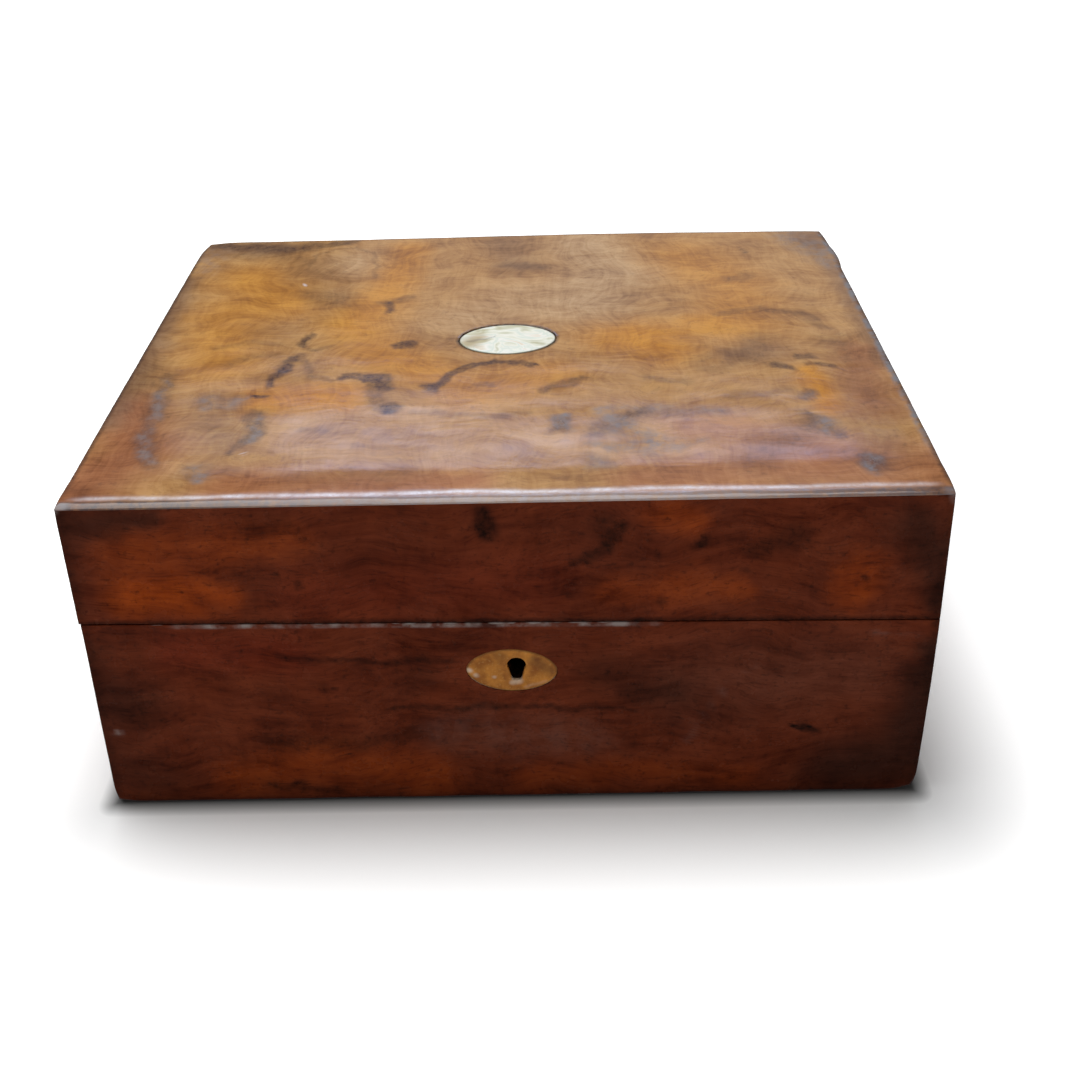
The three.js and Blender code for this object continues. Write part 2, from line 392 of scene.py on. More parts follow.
lidWalnut = polishedWalnut("polished_figured_walnut", dict(
    wood="#be925c", gold="#d28e1c", pale="#c8aa86", red="#aa6848", brown="#7e6250",
    # the lid's dark marks also paint shade along its edges, its wear-and-highlight colour is mostly the front margin's
    # painted highlight, and its bloom colour also the right edge's painted reflection
    dark="#422c26", bloomAndReflection="#7a787c", wearAndHighlight="#e6e2ea", grimeAndShade="#241c1a",
    shade=[(0.36, "#b8a698"), (0.60, "#ffffff"), (0.48, "#e4dad0")],
    swirlSize=36.0, swirlReach=30.0, grain=(42.0, 1.8, 0.24), figure=(26.0, 13.0, 0.52), curl=(2.0, 22.0, 0.24),
    grainTurn=0.0,
    pores=0.20, flecks=0.22, gloss=(0.095, 0.16), relief=0.10, shine=0.5,
))
caseLook = dict(
    wood="#632b16", gold="#8e3c0c", pale="#5a3326", red="#682410", brown="#341b13",
    # the case's dark marks also paint shadow above the seam, and its grime-and-shade colour is mostly painted shade at
    # the seam, the edges and the keyhole
    dark="#180b07", bloomAndReflection="#7c706c", wearAndHighlight="#d0c8c4", grimeAndShade="#0c0705",
    shade=[(0.34, "#9c8880"), (0.60, "#ffffff"), (0.47, "#dcd2cc")],
    swirlSize=44.0, swirlReach=24.0, grain=(48.0, 1.9, 0.30), figure=(24.0, 11.0, 0.60), curl=(3.0, 20.0, 0.10),
    grainTurn=0.0,
    pores=0.45, flecks=0.5, gloss=(0.20, 0.32), relief=0.06, shine=0.06,
)
sideWalnut = polishedWalnut("polished_red_walnut", caseLook)
endWalnut = polishedWalnut("polished_red_walnut_ends", dict(caseLook, grainTurn=math.radians(90.0)))
dryWalnut = polishedWalnut("bare_bottom_board", dict(
    caseLook, wood="#7a5236", gloss=(0.55, 0.75), relief=0.25, shine=0.3,
))


# How far an oval's edge is from its middle in each direction, for |u/a|^p + |v/b|^p = 1
def ovalReach(oval, margin, headings):
    along, across = oval["length"] / 2 + margin, oval["breadth"] / 2 + margin
    turned = headings - math.radians(oval["turn"])
    power = oval["power"]
    return (np.abs(np.cos(turned) / along) ** power + np.abs(np.sin(turned) / across) ** power) ** (-1 / power)


# How far points on the plane are outside an oval, along the ray from its middle
def fromOval(oval, a, b):
    return np.hypot(a - oval["x"], b - oval["y"]) - ovalReach(oval, 0.0, np.arctan2(b - oval["y"], a - oval["x"]))


pearlOval = dict(length=33.6, breadth=23.0, power=1.9, turn=2.0, x=-0.8, y=4.2, thickness=1.2, seat=0.3)
plateOval = dict(length=27.4, breadth=15.8, power=1.9, turn=-3.0, x=0.6, y=51.2, thickness=1.2, seat=0.1)
keyhole = dict(x=2.0, headHeight=53.0, headRadius=2.85, legTop=2.5, legFoot=1.45, footHeight=47.2)

# The lid's top board. Strokes are in millimetres from the middle of the lid, to the right and to the back.
lidTop = dict(
    sideStep=1.25, endStep=0.32, faceLines=84,
    wornHighlightLine=4.6, secondLine=1.6,  # how far the front margin's lines of painted highlight and painted reflection are from its edge
    strokes=dict(
        dark=[
            (0.85, 0.5, [(-79.2, -27.9, 1.6), (-78.1, -20.1, 2.1), (-76, -15.8, 2.6), (-74, -7.6, 1.7)]),
            (0.8, 0.5, [(-72.3, 2, 1.6), (-70.7, 9.6, 1.6)]),
            (0.45, 0.6, [(-72.6, -5.8, 1.6), (-68.7, -15.2, 1.7), (-65.2, -22.4, 2.1), (-60, -24.7, 1.3)]),
            (0.4, 0.6, [(-72.1, -1.2, 1.2), (-67.4, -1.4, 1.4), (-61.8, 0.9, 1.2)]),
            (0.85, 0.5, [(-83, -35.3, 1), (-78.5, -34.2, 1.6)]),
            (
                0.8, 0.5,
                [
                    (-56.5, -23.6, 1.2), (-53.1, -21.7, 1.6), (-48.2, -22.2, 2.2), (-43.1, -24.2, 3),
                    (-40.3, -29.8, 2.9)
                ]
            ),
            (0.55, 0.6, [(-46.5, -25, 1.6), (-43.2, -32, 2.9), (-42.5, -38, 3.1), (-39, -45, 3.1)]),
            (0.75, 0.5, [(-36.7, -45.3, 3.4)]),
            (0.75, 0.5, [(-24.6, -31.2, 3.2)]),
            (
                0.8, 0.45,
                [
                    (-23, -28.6, 2), (-19.8, -23.4, 2.2), (-16, -18.6, 1.7), (-11, -14.9, 1.3), (-4.5, -13.1, 1.6),
                    (1.9, -13.9, 1.6), (8.9, -15.9, 0.8)
                ]
            ),
            (0.85, 0.5, [(-39.3, 0.1, 2.1), (-36.4, 0.9, 2.7), (-33.9, 1.4, 2.1)]),
            (0.7, 0.5, [(-44.6, 29.5, 1.7), (-44.8, 35.2, 2)]),
            (0.45, 0.6, [(-47.5, 36, 2.3), (-41.8, 39.5, 2.5), (-36.3, 41.8, 1.3)]),
            (
                0.28, 0.4,
                [
                    (-81.3, 74.1, 0.9), (-79.8, 84.1, 0.9), (-72.8, 90.2, 1), (-63.1, 92.3, 0.9), (-56.4, 85.5, 0.9),
                    (-53.1, 72.7, 1), (-54.7, 60.7, 0.8)
                ]
            ),
            (0.7, 0.7, [(-124, 97, 2.6), (-106.8, 95, 3.9), (-91.3, 92, 4.7), (-81.1, 95, 3.9), (-66, 98.6, 2.1)]),
            (0.25, 0.9, [(-110, 86, 3.9), (-94, 84, 4.7), (-84, 80, 3.9)]),
            (
                0.6, 0.6,
                [(-81.2, -47, 3.1), (-78.2, -54, 3.4), (-78.6, -62, 2.9), (-81.4, -68.6, 1.8), (-84.2, -72.4, 1)]
            ),
            (0.45, 0.7, [(-113.5, -20, 2.3), (-112.4, -38, 3.4), (-111.5, -58, 3.4), (-106, -78, 2.3)]),
            (0.35, 0.8, [(-97.5, -38, 4.5), (-88, -38.4, 4.5)]),
            (0.3, 0.8, [(-91.1, -82.3, 4.7)]),
            (0.3, 0.6, [(-29.2, -47.1, 1.3), (-19.1, -49.1, 1.6), (-7.5, -51.1, 1.7), (7.7, -50.1, 1.3)]),
            (0.4, 0.6, [(-10.6, -30.6, 1.6), (-5.1, -29.7, 1.6)]),
            (0.3, 0.7, [(-94.8, -12.3, 2.1), (-89.5, -5.1, 2.3), (-80.2, -5.5, 2.1)]),
            (0.3, 0.7, [(-102.6, 1.1, 1.6), (-93.2, 5.5, 2), (-81.7, 3.1, 1.6)]),
            (0.3, 0.7, [(-63.1, -57.5, 1.8), (-56.9, -58.2, 1.8)]),
            (0.35, 0.8, [(-66.2, 40.6, 7.8), (-76, 46, 5.2)]),
            (0.12, 0.9, [(-83.4, 69.3, 6.5)]),
            (0.4, 0.8, [(-4, 70.2, 3.4), (12.2, 68.2, 2.9)]),
            (0.6, 0.6, [(12.2, -35.2, 2), (15, -31.5, 2.6), (22.4, -28.4, 2.3), (26.1, -27, 1.3)]),
            (0.35, 0.7, [(45.5, -27.7, 1.6), (59.1, -30.3, 1.8)]),
            (0.6, 0.6, [(16.8, -53, 3.1), (16.8, -59.5, 3.4)]),
            (0.55, 0.7, [(27, -63.4, 3.4), (33, -57, 5.2), (42.1, -50.5, 3.1)]),
            (0.35, 0.8, [(39.5, -50.4, 2.9), (58.8, -51.1, 3.4), (68.6, -50.6, 2.1)]),
            (0.35, 0.7, [(27.2, -80.3, 4.2)]),
            (0.75, 0.5, [(88.8, -20, 2.1), (94.1, -21.6, 1.8)]),
            (0.65, 0.5, [(97.9, -13.5, 1.7), (101.7, -13.6, 2)]),
            (0.6, 0.6, [(100.5, -19.9, 1.6), (106.9, -20.7, 1.7)]),
            (0.65, 0.5, [(95.8, -41.1, 3.1)]),
            (0.6, 0.7, [(92, -52.4, 1.8), (97.3, -61, 4.7), (100.6, -67.8, 2.6)]),
            (0.6, 0.6, [(106.7, -80.5, 2.6), (107.4, -86, 3.4)]),
            (0.35, 0.7, [(71.6, -40.5, 2.1), (85.3, -39.1, 2.1), (91, -37.4, 1.3)]),
            (0.7, 0.4, [(92, 82.4, 0.7), (93.6, 77.9, 0.7)]),
            (0.4, 0.8, [(89.4, 55.4, 3.9), (84, 53, 2.6)]),
            (0.35, 0.7, [(74.5, 21.5, 1.8), (90.4, 25.7, 2.3), (104.7, 20.1, 2.6), (110.5, 8.1, 1.6)]),
            (0.20, 1, [(-119, -14, 5), (-116, -44, 8), (-110, -68, 8), (-118, -90, 9)]),
            (0.30, 1, [(-92, -52, 6), (-84, -66, 6)]), (0.25, 1, [(-60, -88, 6), (-30, -86, 5)]),
            (0.30, 1, [(112, -2, 5), (117, -30, 6), (114, -56, 8), (112, -80, 8)]),
            (0.30, 1, [(88, 2, 5), (80, -12, 6)]), (0.28, 1, [(88, -66, 7), (72, -84, 6)]),
            (0.25, 0.9, [(68, -12, 2.6), (63, -18, 2.6), (68.5, -24, 2.6), (74, -18, 2.1)]),
        ],
        bloomAndReflection=[
            (0.45, 1, [(-114, -22, 1.4), (-113.2, -36, 2.2), (-111, -46, 1.6), (-112, -60, 2.4), (-106, -76, 1.4)]),
            (0.4, 1, [(-97.5, -36, 2.6), (-96, -42, 2)]), (0.35, 1, [(-90, -41, 2.4), (-86, -36, 1.6)]),
            (0.33, 1, [(-36.2, -46.2, 2)]),
            (0.28, 1, [(-24.9, -33.5, 2)]),
            (0.28, 1, [(-76.5, -17.6, 1.2)]),
            (0.55, 1, [(-79, -52, 2), (-78.6, -64, 2.2)]),
            (0.6, 1, [(-91.1, -80.3, 2.4), (-89, -86, 1.8)]),
            (0.75, 0.9, [(17.2, -51, 1.8), (16.6, -61, 2.4)]),
            (0.28, 1, [(32.1, -72.6, 2.6), (44.7, -73.9, 3.4), (51.4, -73.3, 2)]),
            (0.28, 1, [(27.2, -80.3, 4)]),
            (0.5, 1, [(30, -50, 2.5), (36, -60, 4.5), (44, -66, 3)]),
            (0.35, 1, [(30, -48, 1.6), (50, -47, 2.2), (66, -50, 1.6)]),
            (0.4, 1, [(24, -70, 1.6), (44, -70, 2.4), (60, -69, 1.6)]),
            (0.33, 1, [(95.8, -41.1, 2)]),
            (0.55, 1, [(98, -58.5, 2.8), (99, -66, 2.6)]),
            (0.75, 0.9, [(107, -80, 1.6), (107.4, -87, 2.6)]),
            (0.33, 1, [(112, 94, 6), (120, 84, 7), (122, 66, 4)]),
            (0.22, 1, [(-122, 88, 6), (-120, 70, 4)]),
        ],
        wearAndHighlight=[
            (0.8, 0.6, [(-79.1, 55, 0.8)]),
            (0.5, 0.6, [(-78.2, -72, 0.6)]),
            (0.15, 0.8, [(-125.6, -100.6, 2.2)]),
            (0.15, 0.8, [(125.4, -100.6, 2.6)]),
        ],
        gold=[
            (0.8, 0.9, [(-80, -37, 8), (-55, -36, 9)]),
            (0.6, 0.9, [(-100, 60, 14), (-84, 38, 13)]),
            (0.65, 0.9, [(-55, 18, 12), (-46, 50, 9), (-42, 88, 8)]),
            (0.5, 0.9, [(-105, 28, 12), (-98, -12, 12)]),
            (0.5, 0.9, [(-14, -32, 12), (14, -24, 10)]),
            (0.75, 0.9, [(98.5, -24, 4), (100.5, -34, 5), (101, -49, 4)]),
            (0.5, 0.9, [(68, 74, 16), (84, 48, 14), (82, 12, 14)]),
            (0.5, 0.9, [(50, 6, 10), (70, 14, 8)]),
            (0.65, 1, [(-46, -4, 12), (-30, -18, 10)]), (0.65, 1, [(38, 4, 12), (54, -8, 10)]),
        ],
        pale=[
            (0.7, 0.9, [(28, 88, 14), (36, 62, 17), (30, 34, 15)]),
            (0.55, 0.9, [(4, 34, 18), (-14, 18, 14)]),
            (0.5, 0.9, [(-66, 76, 12)]),
        ],
        red=[
            (0.75, 0.9, [(-127, -95, 16), (-112, -70, 12), (-120, -40, 8)]),
            (0.65, 0.9, [(-80, -90, 9), (-40, -92, 9), (-10, -90, 7)]),
            (0.6, 0.9, [(40, -90, 9), (80, -86, 12), (120, -88, 16)]),
            (0.5, 0.9, [(115, -50, 9), (118, -10, 7)]),
            (0.4, 0.9, [(60, -60, 10), (95, -72, 10)]),
        ],
        brown=[
            (0.45, 0.9, [(-2, 92, 10), (2, 70, 8)]),
            (0.7, 0.9, [(-126, 60, 5), (-126, 0, 6), (-126, -50, 6)]),
            (0.6, 0.9, [(-122, 94, 9), (-95, 93, 6)]),
            (0.55, 0.9, [(120, 95, 11), (125, 60, 5), (126, -20, 4)]),
            (0.4, 0.9, [(86, -8, 9), (78, -12, 6)]),
            (0.15, 0.9, [(-72, 46, 10), (-84, 66, 8)]),
        ],
    ),
)


# The top board is a stack of closed lines on rays from the oval's middle: the seat's floor and wall, the face out to
# the box's edge, down the edge, under the lap, down the tongue and across the underside
def makeLidTop():
    look = lidTop
    halfX, halfY, height = case["width"] / 2, case["depth"] / 2, case["height"]
    edgeX, edgeY = rectangleLoop(
        *(spread(case[side], look["sideStep"], look["endStep"], 4.0) for side in ("width", "depth"))
    )
    fromX, fromY = edgeX - pearlOval["x"], edgeY - pearlOval["y"]
    headings, far = np.arctan2(fromY, fromX), np.hypot(fromX, fromY)
    seat = ovalReach(pearlOval, pearlOval["seat"], headings)
    floor = height - pearlOval["thickness"] - pearlOval["seat"]

    def onRay(reach, z):
        return np.stack(
            [
                pearlOval["x"] + reach * np.cos(headings), pearlOval["y"] + reach * np.sin(headings),
                np.full_like(reach, z)
            ],
            -1
        )

    lines = [
        onRay(seat * 0.5, floor), onRay(seat, floor), onRay(seat, height - 0.2), onRay(seat + 0.06, height - 0.06),
        onRay(seat + 0.2, height)
    ]
    rim = np.array([7.6, 6.8, 6.0, 5.3, 4.6, 4.0, 3.4, 2.8, 2.2, 1.7, 1.2, 0.8, 0.4, 0.0]) / 115.0
    steps = np.concatenate([np.linspace(0.0, 1.0 - rim[0], look["faceLines"])[1:-1], 1.0 - rim])
    lines += [onRay(seat + 0.2 + t * (far - seat - 0.2), height) for t in steps]
    lap = height - case["lap"]
    lines += [
        np.stack([edgeX, edgeY, np.full_like(edgeX, height - drop)], -1) for drop in (0.3, 0.5, 0.7, case["lap"])
    ]
    inX, inY = edgeX * (1 - (case["wall"] + 0.1) / halfX), edgeY * (1 - (case["wall"] + 0.1) / halfY)
    under = height - case["top"]
    for share, z in ((1.0, lap), (1.0, under), (0.6, under), (0.2, under)):
        lines.append(np.stack([inX * share, inY * share, np.full_like(inX, z)], -1))
    points, faces = loft(np.array(lines))
    x, y = points[:, 0], points[:, 1]
    onFace = points[:, 2] > height - 0.01
    layers = paint(x, y, look["strokes"])
    away = fromOval(pearlOval, x, y)
    layers["grimeAndShade"] = 0.9 * smooth(away, 1.0, 0.45)
    sideEdge, backEdge, frontEdge = halfX - np.abs(x), halfY - y, halfY + y
    # painted shade: the rounded side edges, away from the front corners, and the back edge are darkened
    layers["dark"] = np.maximum(layers["dark"], 0.75 * smooth(sideEdge, 2.4, 0.8) * smooth(frontEdge, 2.0, 8.0))
    layers["dark"] = np.maximum(layers["dark"], 0.6 * smooth(backEdge, 2.2, 0.8))
    # the front margin: a bright line of painted highlight, partly a worn pale edge, a grey band of painted sheen below
    # it with a second broken line of painted reflection, and a dark arris of painted shade
    middle = np.exp(-((x - 15.0) / 80.0) ** 2)
    line = look["wornHighlightLine"] + 0.35 * ripple(x, 0.0 * x, 40.0, 43)
    # painted highlight, partly a worn pale edge: the bright line, brightest a little left of the middle
    wearAndHighlight = (0.6 + 0.45 * np.exp(-((x + 10.0) / 75.0) ** 2)) * np.exp(-((frontEdge - line) / 1.1) ** 2)
    broken = smooth(ripple(x, 0.0 * x, 34.0, 44), -0.3, 0.3)
    # painted reflection: a second, broken bright line nearer the edge
    wearAndHighlight = wearAndHighlight + (0.05 + 0.3 * middle) * np.exp(-((frontEdge - look["secondLine"]) / 0.6) ** 2) * broken
    inFromEnds = smooth(sideEdge, 1.0, 9.0)
    layers["wearAndHighlight"] = np.maximum(layers["wearAndHighlight"], wearAndHighlight * inFromEnds * (0.85 + 0.25 * ripple(x, 3.0 * y, 9.0, 45)))
    # painted sheen: a pale veil over the margin's outer few millimetres, strongest in the middle
    layers["wearAndHighlight"] = np.maximum(layers["wearAndHighlight"], (0.03 + 0.27 * middle) * smooth(frontEdge, 5.0, 3.4) * inFromEnds)
    # painted shade: the arris is darkened where its rounding turns down to the front
    layers["dark"] = np.maximum(layers["dark"], (0.95 - 0.2 * middle) * smooth(frontEdge, 4.2, 2.4))
    # painted reflection: a grey line along the rounded right edge, fading out toward the front
    layers["bloomAndReflection"] = np.maximum(layers["bloomAndReflection"], 0.75 * smooth(halfX - x, 3.4, 1.6) * smooth(y, -88.0, -60.0))
    edge = np.minimum(sideEdge, np.minimum(backEdge, frontEdge))
    for kind in layers:
        layers[kind] = layers[kind] * (points[:, 2] > lap - 0.01)
    points = roundBox(points)
    swell = 0.05 * ripple(x, y, 46.0, 41) + 0.02 * ripple(x, y, 15.0, 42)
    points[:, 2] += np.where(onFace, swell * smooth(edge, 0.0, 8.0) * smooth(away, 0.5, 6.0), 0.0)
    return makePiece("lid_top", (settle(liftEdge(points)), faces), lidWalnut, "lid_top_board", layers)


makeLidTop()

# Strokes on the front, in millimetres to the right of the middle and up from the foot
frontStrokes = dict(
    dark=[
        (0.85, 0.6, [(-6.2, 107, 2.6), (-5.6, 103, 3.2), (-5.2, 98.5, 1.8)]),
        (0.3, 0.9, [(-71.8, 102.4, 4), (-64, 105, 4), (-57.9, 99.8, 2)]),
        (0.7, 0.7, [(33.8, 102, 2), (28.4, 94.5, 1.8), (22.9, 90.2, 1.6), (18.3, 89.2, 1)]),
        (0.55, 0.8, [(28.4, 102, 4.5)]),
        (0.8, 0.6, [(54.6, 94, 1.4), (56, 97.2, 1.6)]),
        (0.55, 0.8, [(72.3, 93.5, 3), (83.8, 97.7, 4)]),
        (0.6, 0.6, [(-66.9, 87.3, 1)]), (0.6, 0.6, [(-61.4, 84.2, 1.4)]), (0.5, 0.6, [(-21.7, 103.6, 1)]),
        (0.6, 0.6, [(44.3, 76.1, 1.4)]), (0.5, 0.6, [(19.1, 78.4, 1.2)]), (0.5, 0.6, [(43.1, 91.4, 1.2)]),
        (0.5, 0.6, [(69.5, 85.2, 1)]), (0.7, 0.6, [(103.8, 82.8, 1.2)]),
        (0.6, 0.8, [(-69.2, 57, 0.8), (-51.3, 56, 1), (-17.5, 55.2, 1.2)]),
        (0.6, 0.8, [(-37.7, 37.7, 0.8), (-12.3, 37.1, 1.1), (14.8, 36.7, 1.1), (37.3, 35.2, 0.7)]),
        (0.6, 0.8, [(-76.7, 7.3, 2), (-55.9, 4, 1.8)]),
        (0.45, 0.9, [(-112, 38.6, 8)]),
        (0.5, 0.7, [(-56.3, 45.9, 2)]),
        (1, 0.5, [(86.3, 27.8, 1), (90, 26.9, 1.9), (93.6, 26.1, 1.1)]),
        (0.45, 0.8, [(48.9, 41.2, 4), (36.3, 41.5, 3.6)]),
        (0.5, 0.6, [(54.7, 55.6, 0.9)]),
        (0.4, 0.8, [(-75, 25, 3), (-50, 23, 3.4), (-30, 27, 2)]),
        (0.3, 0.8, [(-28, 50, 6)]), (0.3, 0.8, [(28, 50, 6)]),
    ],
    bloomAndReflection=[
        (0.05, 1, [(-20, 28, 6), (0, 26, 8), (24, 24, 6)]),
        (0.7, 0.6, [(-122.3, 28.2, 1.1)]),
        (0.08, 0.9, [(73.6, 51.8, 0.7), (64.4, 42.1, 0.8), (53.3, 22, 0.7)]),
        (0.1, 0.9, [(108, 62.4, 0.8), (122.2, 62.1, 0.8)]),
    ],
    wearAndHighlight=[
        (0.15, 0.7, [(-127, 110, 1.6)]), (0.15, 0.7, [(127, 110, 2)]),
    ],
    gold=[
        (1, 0.9, [(-109.1, 81, 7), (-97.5, 82.1, 8), (-83, 80, 5)]),
        (0.5, 0.9, [(-110, 94, 7), (-85, 97, 7), (-60, 99, 5)]),
        (0.7, 0.8, [(102.3, 84, 7), (100, 79, 6)]),
        (0.6, 0.8, [(45, 106, 5), (54, 103, 4)]),
        (0.45, 0.9, [(29.3, 80, 4), (57.2, 80.8, 6), (70, 79, 3)]),
        (0.55, 1, [(-24.5, 9.5, 7), (-60, 16.3, 8), (-87.4, 10, 6)]),
        (0.35, 0.9, [(4.4, 8, 5), (36.6, 11.2, 4), (72.9, 7.1, 4)]),
    ],
    pale=[
        (0.5, 0.9, [(60, 44, 16), (104, 48, 12)]), (0.4, 0.9, [(-20, 28, 8), (24, 24, 8)]),
    ],
    red=[
        (0.6, 0.9, [(-100, 61, 7), (-66, 59, 7)]), (0.4, 0.9, [(-60, 80, 9), (10, 84, 9)]),
    ],
    brown=[
        (0.7, 0.9, [(-127, 106, 8), (-116, 105, 5), (-100, 108, 3)]),
        (0.8, 0.9, [(118, 100, 8), (123, 88, 6), (126, 74, 5)]),
        (0.9, 0.9, [(126, 56, 5), (122, 16, 14), (102, 10, 12)]),
        (0.45, 0.9, [(-127, 60, 6), (-124, 14, 9), (-110, 10, 8)]),
        (0.3, 0.9, [(-127, 76, 4), (-127, 96, 4)]),
        (0.45, 0.9, [(-118, 42, 9)]), (0.4, 0.9, [(30, 48, 9), (50, 42, 8)]),
    ],
)

# The box's walls. A chip is its place along the front, its half width and its size, on the base's upper edge. The
# sides and the back have soft patches: kind, size and strength.
walls = dict(
    lengthStep=0.95, endStep=0.3, heightStep=0.8, arris=0.32, faceLines=46,
    patches=[
        ("gold", 66.0, 0.5), ("red", 60.0, 0.5), ("brown", 74.0, 0.5), ("pale", 50.0, 0.35), ("dark", 30.0, 0.25)
    ],
    chips=[
        (-56.0, 1.2, 0.5), (-33.0, 1.6, 0.5), (-29.0, 1.6, 0.7), (-17.3, 2.2, 0.6), (-12.0, 1.2, 0.4),
        (-3.6, 2.6, 1.0), (1.0, 1.5, 0.7), (7.7, 2.0, 0.9), (14.5, 1.6, 0.4), (20.0, 2.4, 0.5), (28.0, 1.6, 0.4),
        (-84.0, 2.0, 0.3), (-104.0, 3.0, 0.3)
    ],
)


# Turns the plane about the upright axis: at each quarter turn (x, y) becomes (-y, x)
def quarterTurn(x, y, turns):
    for _ in range(turns):
        x, y = -y, x
    return x, y


# The radius of the seam's arris along the front, with its chips
def chippedArris(x):
    radius = walls["arris"] + 0.08 * ripple(x, x * 0.0, 9.0, 51)
    for middle, half, size in walls["chips"]:
        radius = radius + size * np.clip(1.0 - np.abs((x - middle) / half) ** 2.5, 0.0, 1.0)
    return radius


# The marks of a wall: its strokes, or soft patches where it has none, then darker at the upright corners and along the
# foot, painted shadow just above the seam, and painted shade where the faces turn in at the seam and edges
def wallMarks(p, along, depthIn, strokes, seed):
    if strokes:
        layers = paint(along, p[:, 2], strokes)
    else:
        layers = noMarks(len(p))
        for i, (kind, size, strength) in enumerate(walls["patches"]):
            layers[kind] = strength * smooth(ripple(0.6 * along, 1.8 * p[:, 2], size, seed + 10 * i), 0.1, 1.4)
    inX, inY = case["width"] / 2 - np.abs(p[:, 0]), case["depth"] / 2 - np.abs(p[:, 1])
    corner = np.hypot(np.minimum(inX, case["wall"]), np.minimum(inY, case["wall"]))
    layers["dark"] = np.maximum(layers["dark"], 0.35 * smooth(corner, 4.0, 1.0))
    layers["dark"] = np.maximum(layers["dark"], 0.5 * smooth(p[:, 2], 2.6, 0.0))
    aboveSeam = p[:, 2] - seamAt(p[:, 0])
    # painted shadow: a dark band on the lid's wall just above the seam
    layers["dark"] = np.maximum(layers["dark"], 0.75 * smooth(aboveSeam, 2.4, 0.4) * (aboveSeam > 0))
    # painted shade: the faces that turn in from the outer face, at the seam and the wall's other edges, go near black
    layers["grimeAndShade"] = np.maximum(layers["grimeAndShade"], 0.8 * smooth(depthIn, 0.05, 0.6))
    for kind in layers:
        layers[kind] = np.where(depthIn > 1.0, 0.0, layers[kind])
    return layers


# A plain wall is a closed section carried from mitre to mitre: up the outer face, in along the top edge, down the
# inner face and back along the lower edge. A point further in runs shorter by as much at both ends.
def makeWall(name, node, turns, isLid, strokes=None):
    across = turns % 2 == 0
    half, out = (case["width"] / 2, case["depth"] / 2) if across else (case["depth"] / 2, case["width"] / 2)
    tall = 40.0 if isLid else case["seam"]
    rise = spread(1.0, walls["heightStep"] / tall, 0.2 / tall, 2.4 / tall) + 0.5
    inward = np.array([0.12, 0.25, 0.42, 0.7, 2.0, 8.0])
    depthIn = np.concatenate([np.zeros(len(rise)), inward, np.full(8, case["wall"]), inward[::-1]])
    share = np.concatenate([rise, np.ones(len(inward)), np.linspace(1.0, 0.0, 8), np.zeros(len(inward))])
    along = spread(2.0, walls["lengthStep"] / half, walls["endStep"] / half, 4.0 / half)
    run = along[:, None] * (half - depthIn - case["jointGap"])[None, :]
    depthIn = np.broadcast_to(depthIn, run.shape)
    x, y = quarterTurn(run, depthIn - out, turns)
    low = seamAt(x) + case["seamGap"] / 2 if isLid else np.zeros_like(x)
    high = np.full_like(x, case["height"] - case["lap"] - 0.03) if isLid else seamAt(x) - case["seamGap"] / 2
    z = low + (high - low) * share
    inFace, fromSeam = ease(depthIn, z - low if isLid else high - z, walls["arris"])
    z = low + fromSeam if isLid else high - fromSeam
    x, y = quarterTurn(run, inFace - out, turns)
    points, faces = loft(np.stack([x, y, z], -1))
    flat = np.concatenate([depthIn.ravel(), [4.0, 4.0]])
    alongFace = points[:, 0] if across else points[:, 1]
    layers = wallMarks(points, alongFace, flat, strokes, 100 + turns + 4 * isLid)
    rounded = roundBox(points)
    swell = 0.05 * ripple(alongFace, points[:, 2], 38.0, 60 + turns) * (flat < 0.01)
    swell *= smooth(half - np.abs(alongFace), 1.0, 6.0) * smooth(
        points[:, 2], case["height"] - 2.0, case["height"] - 8.0
    )
    rounded[:, 1 if across else 0] += swell * (1 if turns in (1, 2) else -1)
    rounded = liftEdge(rounded) if isLid else setInBase(rounded)
    return makePiece(name, (settle(rounded), faces), sideWalnut if across else endWalnut, node, layers)


for turns, side in enumerate(("front", "right", "back", "left")):
    makeWall(f"lid_{side}", f"lid_{side}_board", turns, True, frontStrokes if turns == 0 else None)
    if turns:
        makeWall(f"base_{side}", f"base_{side}_board", turns, False)


# How far the keyhole's edge is from a point low in its head, in each direction: the head's circle, or the leg with
# its sides drawing together down to the level foot
def keyholeReach(headings):
    cosine, sine = np.cos(headings), np.sin(headings)
    middle = keyhole["headHeight"] - 1.0
    head = sine + np.sqrt(np.maximum(keyhole["headRadius"] ** 2 - cosine ** 2, 0.0))
    drop = middle - keyhole["footHeight"]
    taper = (keyhole["legTop"] - keyhole["legFoot"]) / drop
    side = keyhole["legTop"] / np.maximum(np.abs(cosine) - taper * sine, 1e-6)
    foot = drop / np.maximum(-sine, 1e-6)
    leg = (side ** -8 + foot ** -8) ** (-1 / 8)
    return np.maximum(head, np.where(sine < 0, leg, 0.0))


# The keyhole's edge on the rays from its middle to the given points
def keyholeEdge(a, b):
    middle = keyhole["headHeight"] - 1.0
    headings = np.arctan2(b - middle, a - keyhole["x"])
    reach = keyholeReach(headings)
    return keyhole["x"] + reach * np.cos(headings), middle + reach * np.sin(headings)


